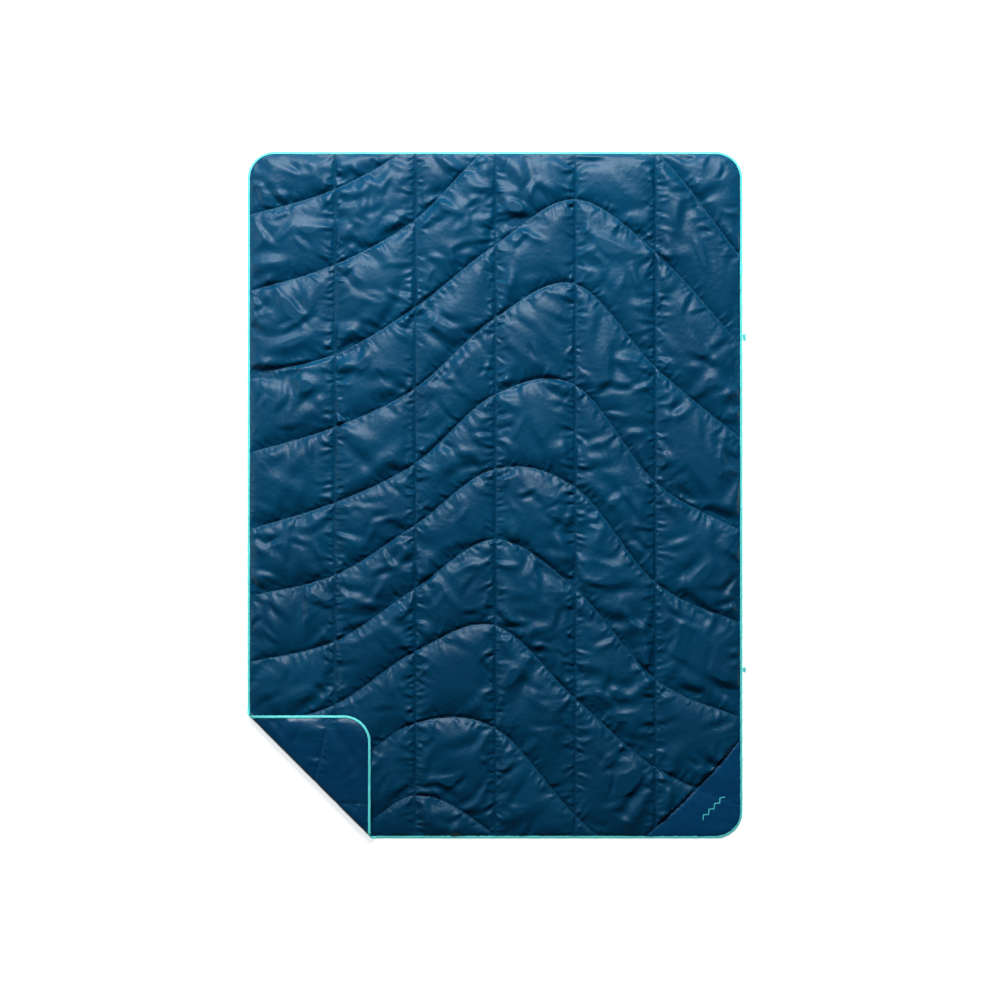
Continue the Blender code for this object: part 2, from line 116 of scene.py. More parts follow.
# ---- folds of the slack cloth: kind, spacing, length, width, height; or count, length, width, height ----
FOLDS_FROM_SEAMS = (("channel", 0.020, 0.050, 0.0065, 0.0030), ("wave", 0.030, 0.045, 0.0065, 0.0026))
FOLDS_ACROSS = ((520, 0.055, 0.0110, 0.0040), (230, 0.085, 0.0180, 0.0060))
FOLD_CEILING = 0.0258  # highest the face may be
FOLD_ROOM = 0.008  # rise of the puff that carries a fold's full height
PUFF_GAIN = 0.30  # extra loft away from the turned corner
PUFF_GAIN_REACH = (0.25, 0.35)
FLAP_CEILING = 0.0200  # highest the face may be under the turned corner

# ---- puckers beside the sewing: height and reach ----
CHANNEL_PUCKER, CHANNEL_PUCKER_REACH = 0.0012, 0.010
WAVE_PUCKER, WAVE_PUCKER_REACH = 0.0007, 0.007
EDGE_PUCKER, EDGE_PUCKER_REACH = 0.0012, 0.016

# ---- back cloth ----
BACK_FLAT_RISE = 0.010  # the back lies flat where the face has risen this much
BACK_WRINKLE = 0.45  # share of the face's wrinkles that the back has
FLAP_BACK_PUFF = 0.0015
FLAP_SEAM_DEPTH = 1.2  # times the seam depth elsewhere
FLAP_FOLD_SHARE = 0.85  # share of the face's folds that the turned corner's back has
FLAP_FREE_REACH = 0.04  # past the fold, where the back is fully off the ground

# ---- fill ----
BATT_CLEARANCE = 0.0035  # between the fill and each cloth
BATT_LEAST_ROOM = 0.0080  # between the cloths; no fill where they are closer

# ---- fold of the turned corner ----
BEND_RADIUS = 0.011
BEND_LENGTH = 0.026  # of flat cloth in the round bend
FOLD_PRESS = 0.50  # share of the loft pressed out at the fold
FOLD_PRESS_REACH = 0.055
FLAP_SHARE = 0.55  # share of the loft left on the turned corner
EDGE_DROOP = 0.007  # of the turned corner's free edge
DROOP_REACH = 0.045
FOLD_STRIP = (-0.030, 0.045)  # fold distances between which the fold pieces lie

# ---- patch ----
PATCH_SHARE = 0.28  # share of the loft left under the patch
PATCH_HEM_RISE = 0.0007
PATCH_CREASE = np.array(((0.522, -0.800), (0.564, -0.880)))
PATCH_CREASE_RISE = 0.0022
PATCH_STITCHES = (0.0020, 0.0052)  # insets of its two stitch rows
MOTIF_PEAKS = 4
MOTIF_LENGTH = 0.088
MOTIF_RISE = 0.009
MOTIF_STROKE = 0.0035
MOTIF_DEPTH = 0.073

# ---- tape and stitches ----
TAPE_WIDTH = 0.0068
TAPE_TOP = 0.0042
TAPE_SPACING = 0.0028
TAPE_STITCH_INSET = 0.0053
STITCH_PITCH = 0.0033
STITCH_LENGTH = 0.0026
STITCH_RADIUS = 0.00042

# ---- gap kept under the fold's height, beside the fold ----
FOLD_BLEND = 0.0031

rng = np.random.default_rng(7)


# =============================================================== pattern
def wave_at(heights, x):
    """Smooth curve through a wave seam's heights, for an array of x."""
    x = np.asarray(x, float)
    slopes = np.gradient(np.array(heights), STATIONS)
    slopes[0] = (heights[1] - heights[0]) / (STATIONS[1] - STATIONS[0])
    for k in range(1, 6):
        slopes[k] = (heights[k + 1] - heights[k - 1]) / (STATIONS[k + 1] - STATIONS[k - 1])
    i = np.clip(np.searchsorted(STATIONS, x, side="right") - 1, 0, 5)
    span = STATIONS[i + 1] - STATIONS[i]
    t = (x - STATIONS[i]) / span
    h = np.array(heights)
    return ((2 * t ** 3 - 3 * t ** 2 + 1) * h[i] + (t ** 3 - 2 * t ** 2 + t) * span * slopes[i]
            + (3 * t ** 2 - 2 * t ** 3) * h[i + 1] + (t ** 3 - t ** 2) * span * slopes[i + 1])


def margin(x, y):
    """Distance inside the rounded outline, negative outside."""
    dx = np.abs(x) - HALF_WIDTH + CORNER_RADIUS
    dy = np.abs(y) - HALF_LENGTH + CORNER_RADIUS
    return CORNER_RADIUS - np.hypot(np.maximum(dx, 0), np.maximum(dy, 0)) - np.minimum(np.maximum(dx, dy), 0)


def patch_depth(x, y):
    """Distance inside the patch's sewing line, negative on the quilted side."""
    chord = PATCH_HEAD_END - PATCH_FOOT_END
    ax, ay = x - PATCH_FOOT_END[0], y - PATCH_FOOT_END[1]
    length = np.hypot(*chord)
    share = (ax * chord[0] + ay * chord[1]) / length ** 2
    return (ax * chord[1] - ay * chord[0]) / length - PATCH_HOLLOW * 4 * share * (1 - share)


def patch_line(share, inset=0.0):
    """Places on the patch's sewing line, or inset from it, at shares of its length from the foot end."""
    share = np.asarray(share, float)[:, None]
    chord = PATCH_HEAD_END - PATCH_FOOT_END
    inward = np.array((chord[1], -chord[0])) / np.hypot(*chord)
    return PATCH_FOOT_END + chord * share + inward * (PATCH_HOLLOW * 4 * share * (1 - share) + inset)


def outline_points(inset, spacing):
    """Evenly spaced points round the blanket, with the outward direction at each."""
    radius = CORNER_RADIUS - inset
    points, outs = [], []
    corners = ((1, 1), (-1, 1), (-1, -1), (1, -1))
    for quarter, (sx, sy) in enumerate(corners):
        centre = np.array((sx * (HALF_WIDTH - CORNER_RADIUS), sy * (HALF_LENGTH - CORNER_RADIUS)))
        steps = max(int(round(radius * math.pi / 2 / spacing)), 4)
        for angle in np.linspace(0, math.pi / 2, steps + 1) + quarter * math.pi / 2:
            out = np.array((math.cos(angle), math.sin(angle)))
            points.append(centre + radius * out)
            outs.append(out)
        nx, ny = corners[(quarter + 1) % 4]
        after = np.array((nx * (HALF_WIDTH - CORNER_RADIUS), ny * (HALF_LENGTH - CORNER_RADIUS)))
        run = after + radius * outs[-1] - points[-1]
        count = int(round(np.hypot(*run) / spacing))
        start = points[-1]
        for k in range(1, count):
            points.append(start + run * k / count)
            outs.append(outs[-1])
    return np.array(points), np.array(outs)


def way_along(path):
    """Length of the path up to each of its points."""
    return np.concatenate(([0], np.cumsum(np.hypot(*np.diff(path, axis=0).T))))


def heading_along(path):
    """The path's direction at each of its points."""
    ahead = np.gradient(path, axis=0)
    return ahead / np.hypot(*ahead.T)[:, None]


def even(path, spacing):
    """The path again, with a point every spacing along it."""
    along = way_along(path)
    want = np.linspace(0, along[-1], max(int(round(along[-1] / spacing)), 1) + 1)
    return np.column_stack([np.interp(want, along, path[:, k]) for k in range(2)])


def cut(path, keep):
    """The stretches of a path where keep holds."""
    flags = keep(path[:, 0], path[:, 1])
    runs, start = [], None
    for i, flag in enumerate(np.append(flags, False)):
        if flag and start is None:
            start = i
        if not flag and start is not None:
            if i - start > 1:
                runs.append(path[start:i])
            start = None
    return runs


def seam_lines(spacing):
    """Every quilting seam as an evenly stepped path: (kind, name, path)."""
    lines = []
    inside = HALF_LENGTH - EDGE_SEAM + 0.0001
    for number, x in enumerate(SEAMS, start=1):
        path = even(np.array(((x, -inside), (x, inside))), spacing)
        for run in cut(path, lambda x, y: patch_depth(x, y) < -0.001):
            lines.append(("channel", str(number), run))
    fine_x = np.linspace(-HALF_WIDTH, HALF_WIDTH, 1400)
    for letter, heights in WAVES.items():
        fine = np.column_stack((fine_x, wave_at(heights, fine_x)))
        for run in cut(fine, lambda x, y: (margin(x, y) > EDGE_SEAM - 0.0001) & (patch_depth(x, y) < -0.001)):
            lines.append(("wave", letter, even(run, spacing)))
    return lines


SEAM_PATHS = seam_lines(POINT_PITCH)


def seam_paths(kind):
    """The paths of all channel seams, or of all wave seams."""
    return [path for seam_kind, _, path in SEAM_PATHS if seam_kind == kind]


def search_tree(places):
    """A search tree of flat places."""
    tree = kdtree.KDTree(len(places))
    for i, place in enumerate(places):
        tree.insert((place[0], place[1], 0), i)
    tree.balance()
    return tree


def nearest_seam_tree():
    """A search tree of seam points, and each one's seam number, way along and direction."""
    rows = []
    for number, (kind, _, path) in enumerate(SEAM_PATHS):
        rows += [(p[0], p[1], number, s, a[0], a[1], kind == "channel")
                 for p, s, a in zip(path, way_along(path), heading_along(path))]
    return search_tree(rows), np.array(rows, float)


SEAM_TREE, SEAM_ROWS = nearest_seam_tree()


def seam_facts(points):
    """For each point: distance to its nearest seam, side, way along, seam number, kind."""
    found = np.array([SEAM_TREE.find((p[0], p[1], 0))[1] for p in points])
    rows = SEAM_ROWS[found]
    dx, dy = points[:, 0] - rows[:, 0], points[:, 1] - rows[:, 1]
    across = rows[:, 4] * dy - rows[:, 5] * dx
    forward = rows[:, 4] * dx + rows[:, 5] * dy
    return np.abs(across), np.sign(across), rows[:, 3] + forward, rows[:, 2], rows[:, 6]


def fold_distance(x, y):
    """Distance past the corner's fold line, towards the corner."""
    return -(x + y - FOLD_SUM) / math.sqrt(2)


def smooth_step(value, low, high):
    """0 below low, 1 above high, smooth between."""
    t = np.clip((value - low) / (high - low), 0, 1)
    return t * t * (3 - 2 * t)


def swell(t):
    """A quarter round: 0 at 0 and 1 from 1 on."""
    return np.sqrt(1 - (1 - np.clip(t, 0, 1)) ** 2)


def add_object(name, data):
    """A new object in the scene."""
    thing = bpy.data.objects.new(name, data)
    bpy.context.collection.objects.link(thing)
    return thing


# =============================================================== simulated face cloth
def triangulate():
    """Cloth points with an edge along each seam: (points, triangles, sewn mask, seam edges)."""
    points, lines = [], []

    def add_line(path, closed=False):
        """Add a row of points with an edge between each two."""
        first = len(points)
        points.extend(path.tolist())
        lines.extend((first + i, first + i + 1) for i in range(len(path) - 1))
        if closed:
            lines.append((len(points) - 1, first))

    add_line(outline_points(EDGE_SEAM, POINT_PITCH)[0], closed=True)
    for _, _, path in SEAM_PATHS:
        add_line(path)
    patch_steps = int(0.4 / POINT_PITCH)
    patch = patch_line(np.linspace(0, 1, patch_steps))
    for run in cut(patch, lambda x, y: margin(x, y) > EDGE_SEAM):
        add_line(run)
    tree = search_tree(points)
    row_step = POINT_PITCH * math.sqrt(0.75)
    for j in range(int(2 * HALF_LENGTH / row_step) + 1):
        y = -HALF_LENGTH + j * row_step
        for x in np.arange(-HALF_WIDTH + (j % 2) * POINT_PITCH / 2, HALF_WIDTH, POINT_PITCH):
            p = (x + rng.uniform(-0.15, 0.15) * POINT_PITCH, y + rng.uniform(-0.15, 0.15) * POINT_PITCH)
            if margin(*p) > EDGE_SEAM + POINT_PITCH / 2 and tree.find((p[0], p[1], 0))[2] > 0.62 * POINT_PITCH:
                points.append(p)
    verts, edges, faces, _, from_edges, _ = delaunay_2d_cdt([Vector(p) for p in points], lines, [], 0, 1e-6)
    xy = np.array(verts)
    tris = np.array(faces)
    centre = xy[tris].mean(axis=1)
    tris = tris[margin(centre[:, 0], centre[:, 1]) > EDGE_SEAM]
    seam_edges = [edge for edge, source in zip(edges, from_edges) if source]
    sewn = np.zeros(len(xy), bool)
    sewn[np.unique(np.array(seam_edges))] = True
    return xy, tris, sewn, seam_edges


def inflate(xy, tris, sewn):
    """Blow the face cloth up between its sewn lines, with spare cloth gathered along the seams."""
    mesh = bpy.data.meshes.new("face_sheet")
    near, _, _, _, _ = seam_facts(xy)
    edge = margin(xy[:, 0], xy[:, 1]) - EDGE_SEAM
    rise = START_RISE * swell(near / START_REACH) * swell(edge / START_REACH)
    co = np.column_stack((xy, SEAM_FACE_Z + rise + rng.normal(0, 0.0002, len(xy)) * ~sewn))
    co[sewn, 2] = SEAM_FACE_Z
    mesh.from_pydata(co.tolist(), [], tris.tolist())
    sheet = add_object("face_sheet", mesh)
    pins = sheet.vertex_groups.new(name="sewn")
    pins.add(np.nonzero(sewn)[0].tolist(), 1.0, "REPLACE")
    sheet.shape_key_add(name="sewn_shape")
    cut_shape = sheet.shape_key_add(name="cut_shape")
    gather = GATHER_NOISE * np.exp(-np.minimum(near, edge) / GATHER_REACH)
    rest = np.column_stack((xy[:, 0] * (1 + EXCESS_ACROSS), xy[:, 1] * (1 + EXCESS_ALONG),
                            rng.normal(0, 1, len(xy)) * gather))
    cut_shape.data.foreach_set("co", rest.astype(np.float32).ravel())
    cloth = sheet.modifiers.new("cloth", "CLOTH")
    settings = cloth.settings
    settings.quality = 6
    settings.mass = 0.05
    settings.air_damping = 2.0
    settings.tension_stiffness = 25
    settings.compression_stiffness = 25
    settings.shear_stiffness = 12
    settings.bending_stiffness = 0.01
    settings.tension_damping = 8
    settings.compression_damping = 8
    settings.shear_damping = 8
    settings.vertex_group_mass = "sewn"
    settings.rest_shape_key = cut_shape
    settings.use_pressure = True
    settings.uniform_pressure_force = PRESSURE
    settings.effector_weights.gravity = 0
    cloth.collision_settings.use_collision = False
    scene = bpy.context.scene
    scene.frame_start, scene.frame_end = 1, SIM_FRAMES
    cloth.point_cache.frame_start, cloth.point_cache.frame_end = 1, SIM_FRAMES
    for number in range(1, SIM_FRAMES + 1):
        scene.frame_set(number)
    graph = bpy.context.evaluated_depsgraph_get()
    result = np.empty(len(xy) * 3, np.float32)
    sheet.evaluated_get(graph).data.vertices.foreach_get("co", result)
    scene.frame_set(1)
    bpy.data.objects.remove(sheet, do_unlink=True)
    return result.reshape(-1, 3).astype(float)


# =============================================================== finer mesh
def refine(co, tris, seam_edges):
    """One level of subdivision that keeps the sewn lines crisp: (points, quads)."""
    mesh = bpy.data.meshes.new("fine_sheet")
    mesh.from_pydata(co.tolist(), [], tris.tolist())
    crease = mesh.attributes.new("crease_edge", "FLOAT", "EDGE")
    sewn = {tuple(sorted(edge)) for edge in seam_edges}
    ends = np.empty(len(mesh.edges) * 2, np.int32)
    mesh.edges.foreach_get("vertices", ends)
    flags = [1.0 if tuple(sorted(edge)) in sewn else 0.0 for edge in ends.reshape(-1, 2).tolist()]
    crease.data.foreach_set("value", flags)
    holder = add_object("fine_sheet", mesh)
    level = holder.modifiers.new("finer", "SUBSURF")
    level.levels = level.render_levels = 1
    graph = bpy.context.evaluated_depsgraph_get()
    fine = holder.evaluated_get(graph).data
    points = np.empty(len(fine.vertices) * 3, np.float32)
    fine.vertices.foreach_get("co", points)
    corners = np.empty(len(fine.loops), np.int32)
    fine.loops.foreach_get("vertex_index", corners)
    bpy.data.objects.remove(holder, do_unlink=True)
    return points.reshape(-1, 3).astype(float), corners.reshape(-1, 4)


def ripple(along, key, wave_length):
    """Smooth random run of ridges along a seam, different for each seam and side."""
    cell = along / wave_length + key * 37.7
    low = np.floor(cell)
    t = cell - low

    def value(n):
        """A number from -1 to 1 for each cell."""
        return np.sin(n * 12.9898 + key * 78.233) * 43758.5453 % 1.0 * 2 - 1

    smooth = t * t * (3 - 2 * t)
    return value(low) * (1 - smooth) + value(low + 1) * smooth


def draw_folds(points, starts, headings, lengths, widths, heights, bends, from_seam):
    """Raise a long narrow ridge, with a hollow beside it, for each fold in the lists."""
    order = np.argsort(points[:, 1])
    rows = points[order, 1]
    lift = np.zeros(len(points))
    for start, heading, length, width, height, bend in zip(starts, headings, lengths, widths, heights, bends):
        reach = length + 3 * width
        low, high = np.searchsorted(rows, (start[1] - reach, start[1] + reach))
        some = order[low:high]
        some = some[np.abs(points[some, 0] - start[0]) < reach]
        dx, dy = points[some, 0] - start[0], points[some, 1] - start[1]
        share = (dx * heading[0] + dy * heading[1]) / length
        across = dx * -heading[1] + dy * heading[0] - bend * length * share ** 2
        if from_seam:
            wide = width * (0.55 + 0.9 * np.clip(share, 0, 1))
            fade = smooth_step(1 - share, 0, 1) * (share > -0.05)
        else:
            wide = width
            fade = np.maximum(1 - share ** 2, 0) ** 2 * (np.abs(share) < 1)
        q = across / wide
        lift[some] += height * fade * (np.exp(-q ** 2) - 0.75 * np.exp(-(q - 1.5) ** 2 / 1.3))
    return lift


def loose_folds(points):
    """Lift of the folds that slack cloth makes: short ones out of the seams, longer ones across chambers."""
    near = seam_facts(points[:, :2])[0]
    edge = margin(points[:, 0], points[:, 1]) - EDGE_SEAM
    lift = np.zeros(len(points))
    for kind, spacing, length, width, height in FOLDS_FROM_SEAMS:
        for path in seam_paths(kind):
            spots = even(path, spacing)
            count = len(spots)
            ahead = heading_along(spots)
            for way in (-1, 1):
                keep = rng.random(count) < 0.8
                lean = rng.normal(0, 0.45, count)
                out = np.column_stack((-ahead[:, 1], ahead[:, 0])) * way
                heading = out * np.cos(lean)[:, None] + ahead * np.sin(lean)[:, None]
                size = rng.lognormal(0, 0.35, count)
                starts = spots + ahead * rng.normal(0, spacing / 3, count)[:, None]
                heights = height * rng.uniform(0.4, 1.3, count)
                bends = rng.normal(0, 0.12, count)
                lift += draw_folds(points, starts[keep], heading[keep], (length * size)[keep],
                                   (width * size ** 0.5)[keep], heights[keep], bends[keep], True)
    for count, length, width, height in FOLDS_ACROSS:
        spots = np.column_stack([rng.uniform(-half, half, count) for half in (HALF_WIDTH, HALF_LENGTH)])
        angle = rng.normal(0, 0.55, count) + np.where(rng.random(count) < 0.6, -0.75, 0.75)
        heading = np.column_stack((np.cos(angle), np.sin(angle)))
        size = rng.lognormal(0, 0.3, count)
        heights = height * rng.uniform(0.4, 1.2, count) * np.where(rng.random(count) < 0.5, 1, -1)
        bends = rng.normal(0, 0.12, count)
        lift += draw_folds(points, spots, heading, length * size, width * size ** 0.5, heights, bends, False)
    calm = smooth_step(near, 0, 0.009) * smooth_step(edge, 0, 0.009)
    depth = patch_depth(points[:, 0], points[:, 1])
    return lift * calm * np.where(depth > -0.006, 0.15, 1)


def add_folds(points, lift):
    """The puffed face with the folds on it, kept clear of what lies over it and folds onto it."""
    depth = patch_depth(points[:, 0], points[:, 1])
    away = smooth_step(-fold_distance(-np.abs(points[:, 0]), points[:, 1]), *PUFF_GAIN_REACH)
    risen = (points[:, 2] - SEAM_FACE_Z) * np.where(depth > 0, 1, 1 + PUFF_GAIN * away)
    room = np.clip(risen / FOLD_ROOM, 0, 1)
    lift = lift * (0.35 + 0.65 * room)
    top = FLAP_CEILING + (FOLD_CEILING - FLAP_CEILING) * away
    points[:, 2] = np.clip(SEAM_FACE_Z + risen + lift, SEAM_FACE_Z + 0.25 * risen, top)
    short = np.maximum(EDGE_SEAM - margin(points[:, 0], points[:, 1]), 0)
    inward = np.where(np.abs(points[:, :2]) > np.array((HALF_WIDTH, HALF_LENGTH)) - 0.02, -np.sign(points[:, :2]), 0)
    points[:, :2] += inward * short[:, None]
    return points


def add_puckers(points):
    """Short ridges square to each seam and edge, where the sewing draws the cloth up."""
    flat = points[:, :2]
    near, side, along, number, is_channel = seam_facts(flat)
    key = number * 2 + side
    reach = np.where(is_channel > 0.5, CHANNEL_PUCKER_REACH, WAVE_PUCKER_REACH)
    size = np.where(is_channel > 0.5, CHANNEL_PUCKER, WAVE_PUCKER)
    spread = 1 + 0.6 * ripple(along, key + 5, 0.045)
    fade = np.exp(-near / (reach * spread)) * (1 - np.exp(-near / 0.0025))
    waves = ripple(along, key, 0.0085) + 0.5 * ripple(along, key + 11, 0.0048)
    lift = size * fade * waves * (1 + 0.8 * ripple(along, key + 3, 0.08))
    edge = margin(flat[:, 0], flat[:, 1])
    turn = np.where(np.abs(flat[:, 0]) / HALF_WIDTH > np.abs(flat[:, 1]) / HALF_LENGTH, flat[:, 1], flat[:, 0])
    edge_fade = np.exp(-edge / EDGE_PUCKER_REACH) * (1 - np.exp(-edge / 0.004))
    lift += EDGE_PUCKER * edge_fade * (ripple(turn, 91, 0.010) + 0.5 * ripple(turn, 92, 0.0055))
    points[:, 2] = np.maximum(points[:, 2] + lift, SEAM_FACE_Z)
    return points


# =============================================================== which piece, which body
TURNED, FOLD = 0, 7
REGIONS = ("turned_corner", *(f"channel_{number}" for number in range(1, 7)), "corner_fold")


def region_of(x, y):
    """The number in REGIONS of a place on the pattern."""
    u = fold_distance(x, y)
    channel = np.clip(np.floor(x / SEAM_PITCH).astype(int) + 4, 1, 6)
    return np.where(u > FOLD_STRIP[1], TURNED, np.where(u > FOLD_STRIP[0], FOLD, channel))


def carry(piece, number):
    """Join a piece of one region to the body that it lies on; pieces of the fold and of the middle two channels are
    only fixed where they are.
    """
    if number == TURNED:
        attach(piece, "corner")
    elif number == FOLD:
        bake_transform(piece)
    elif number <= 2:
        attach(piece, "left")
    elif number <= 4:
        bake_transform(piece)
    else:
        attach(piece, "right")


def stand_for(piece, *nodes):
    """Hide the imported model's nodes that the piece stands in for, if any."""
    if nodes:
        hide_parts(*nodes)


def nodes_like(*starts):
    """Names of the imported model's nodes that start so."""
    return sorted(name for name in frame["nodes"] if name.startswith(starts))


# =============================================================== folded corner
def fold_over(points):
    """Bend the near left corner of the flat pattern over its fold."""
    out = points.copy()
    u = fold_distance(points[:, 0], points[:, 1])
    press = 1 - FOLD_PRESS * np.exp(-(u / FOLD_PRESS_REACH) ** 2)
    flap = u > BEND_LENGTH - BEND_RADIUS
    z = points[:, 2] * np.where(u > -0.25, press, 1.0)
    share = FLAP_SHARE + (1 - FLAP_SHARE) * np.exp(-np.maximum(u, 0) / 0.04)
    z = np.where(u > 0, z * share, z)
    z = np.where((u > FOLD_STRIP[0] - 0.01) & ~flap, np.minimum(z, FOLD_Z - FOLD_BLEND), z)
    turn = np.clip((u + BEND_RADIUS) / BEND_LENGTH, 0, 1) * math.pi
    drop = FOLD_Z - z
    bend_u = -BEND_RADIUS + (BEND_RADIUS / FOLD_Z) * drop * np.sin(turn)
    bend_z = FOLD_Z - drop * np.cos(turn)
    edge = margin(points[:, 0], points[:, 1])
    free = np.clip((u - 0.03) / 0.08, 0, 1)
    droop = EDGE_DROOP * free * (1 - np.clip(edge / DROOP_REACH, 0, 1)) ** 2
    new_u = np.where(flap, BEND_LENGTH - 2 * BEND_RADIUS - u, bend_u)
    new_z = np.where(flap, 2 * FOLD_Z - z - droop, bend_z)
    bent = u > -BEND_RADIUS
    shift = (u - new_u) / math.sqrt(2)
    out[:, 0] = np.where(bent, points[:, 0] + shift, points[:, 0])
    out[:, 1] = np.where(bent, points[:, 1] + shift, points[:, 1])
    out[:, 2] = np.where(bent, new_z, z)
    return out


def to_frame(points):
    """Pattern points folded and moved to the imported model's place."""
    return fold_over(points) + np.array((CENTRE_X, 0, 0))


def flap_free(points):
    """0 on the part that lies flat, 1 on the turned corner, smooth between."""
    return smooth_step(fold_distance(points[:, 0], points[:, 1]), 0, FLAP_FREE_REACH)


# =============================================================== making pieces
def piece_from(name, points, faces, material):
    """A smooth mesh object from the pattern points that its faces use, folded and moved to its place."""
    used, corners = np.unique(faces, return_inverse=True)
    mesh = bpy.data.meshes.new(name)
    mesh.from_pydata(to_frame(points[used]).tolist(), [], corners.reshape(np.shape(faces)).tolist())
    mesh.shade_smooth()
    mesh.materials.append(material)
    return add_object(name, mesh)


def solid_piece(name, solid, material):
    """A mesh object from a bmesh that is already in its place."""
    mesh = bpy.data.meshes.new(name)
    solid.to_mesh(mesh)
    solid.free()
    mesh.materials.append(material)
    return add_object(name, mesh)


# =============================================================== heights of the layers
def patch_height(flat, z):
    """Face heights with the corner under the patch pressed nearly flat, and one soft crease in it."""
    depth = patch_depth(flat[:, 0], flat[:, 1])
    low = SEAM_FACE_Z + PATCH_SHARE * (z - SEAM_FACE_Z)
    start, run = PATCH_CREASE[0], PATCH_CREASE[1] - PATCH_CREASE[0]
    share = np.clip((flat - start) @ run / (run @ run), 0, 1)
    away = np.hypot(*(flat - start - share[:, None] * run).T)
    low += PATCH_CREASE_RISE * np.sin(math.pi * np.clip(share, 0.05, 0.95)) * np.exp(-(away / 0.006) ** 2)
    low += PATCH_HEM_RISE * (smooth_step(depth, 0, 0.001) - 0.5 * smooth_step(depth, PATCH_HEM, PATCH_HEM + 0.002))
    return np.where(depth > 0, low, z)


def wrinkles_of(points, triangles, rounds=12):
    """Height of each point above its surroundings."""
    a, b = np.concatenate([triangles[:, [0, 1]], triangles[:, [1, 2]], triangles[:, [2, 0]]]).T
    count = np.bincount(a, minlength=len(points)) + np.bincount(b, minlength=len(points))
    smooth = points[:, 2].copy()
    for _ in range(rounds):
        total = np.bincount(a, smooth[b], len(points)) + np.bincount(b, smooth[a], len(points))
        smooth = 0.5 * smooth + 0.5 * total / np.maximum(count, 1)
    return points[:, 2] - smooth


def back_height(points, triangles):
    """Heights of the back cloth: drawn up at the seams, flat between them, freer on the turned corner."""
    risen = np.clip((points[:, 2] - SEAM_FACE_Z) / BACK_FLAT_RISE, 0, 1)
    free = flap_free(points)
    rest = SEAM_BACK_Z * (1 - risen) ** 2 * (1 + (FLAP_SEAM_DEPTH - 1) * free)
    loose = (BACK_WRINKLE * wrinkles_of(points, triangles) + FLAP_BACK_PUFF) * risen
    return np.where(free > 0, rest - free * loose, np.maximum(rest - loose + FLAP_BACK_PUFF * risen, 0))


def batt_between(name, top, under, triangles):
    """The fibre fill of one region, a closed solid a little inside the two cloths."""
    used, corners = np.unique(triangles, return_inverse=True)
    corners = corners.reshape(-1, 3)
    thick = top[used, 2] - under[used, 2]
    inside = np.minimum(BATT_CLEARANCE, 0.45 * thick)
    upper, lower = top[used].copy(), under[used].copy()
    upper[:, 2] -= inside
    lower[:, 2] += np.minimum(inside, 0.2 * thick)
    count = len(used)
    edges = np.concatenate([corners[:, [0, 1]], corners[:, [1, 2]], corners[:, [2, 0]]])
    _, first, uses = np.unique(np.sort(edges, axis=1), axis=0, return_index=True, return_counts=True)
    rim = edges[first[uses == 1]]
    walls = np.concatenate([np.column_stack((rim[:, 1], rim[:, 0], rim[:, 0] + count)),
                            np.column_stack((rim[:, 1], rim[:, 0] + count, rim[:, 1] + count))])
    faces = np.concatenate([corners, corners[:, ::-1] + count, walls])
    return piece_from(name, np.concatenate([upper, lower]), faces, FIBRE)


# =============================================================== stitches
def stitches(places, ahead, z):
    """Small rounded stitches at flat places: (points, triangles, the flat place of each triangle)."""
    sides = 5
    ring = np.arange(sides) * 2 * math.pi / sides
    shape = [(-STITCH_LENGTH / 2, 0, 0)]
    for share, size in ((-0.36, 0.7), (0, 1), (0.36, 0.7)):
        shape += [(share * STITCH_LENGTH, size * STITCH_RADIUS * math.cos(a), size * STITCH_RADIUS * math.sin(a))
                  for a in ring]
    shape.append((STITCH_LENGTH / 2, 0, 0))
    faces, last = [], len(shape) - 1
    for k in range(sides):
        n = (k + 1) % sides
        faces.append((0, 1 + n, 1 + k))
        faces.append((last, 1 + 2 * sides + k, 1 + 2 * sides + n))
        for row in range(2):
            low, high = 1 + row * sides, 1 + (row + 1) * sides
            faces += [(low + k, low + n, high + n), (low + k, high + n, high + k)]
    shape, faces = np.array(shape), np.array(faces)
    aside = np.column_stack((-ahead[:, 1], ahead[:, 0]))
    flat = places[:, None] + shape[None, :, :1] * ahead[:, None] + shape[None, :, 1:2] * aside[:, None]
    height = np.broadcast_to(np.asarray(z, float).reshape(-1, 1), (len(places), 1)) + shape[None, :, 2]
    points = np.concatenate([flat, height[:, :, None]], axis=2).reshape(-1, 3)
    triangles = (faces[None] + np.arange(len(places))[:, None, None] * len(shape)).reshape(-1, 3)
    return points, triangles, np.repeat(places, len(faces), axis=0)


def stitch_places(path):
    """Middles of the stitches along a path, and the path's direction there."""
    spots = even(path, STITCH_PITCH)
    return spots, heading_along(spots)


def stitch_pieces(label, paths, z, finish, standing=lambda region_name: ()):
    """The stitches of several seams, one piece for each region that they cross."""
    rows = [stitch_places(path) for path in paths]
    spots, ahead = (np.concatenate(part) for part in zip(*rows))
    points, triangles, places = stitches(spots, ahead, z)
    numbers = region_of(places[:, 0], places[:, 1])
    for number in np.unique(numbers):
        row = piece_from(f"{label}_{REGIONS[number]}", points, triangles[numbers == number], finish)
        carry(row, number)
        stand_for(row, *standing(number))


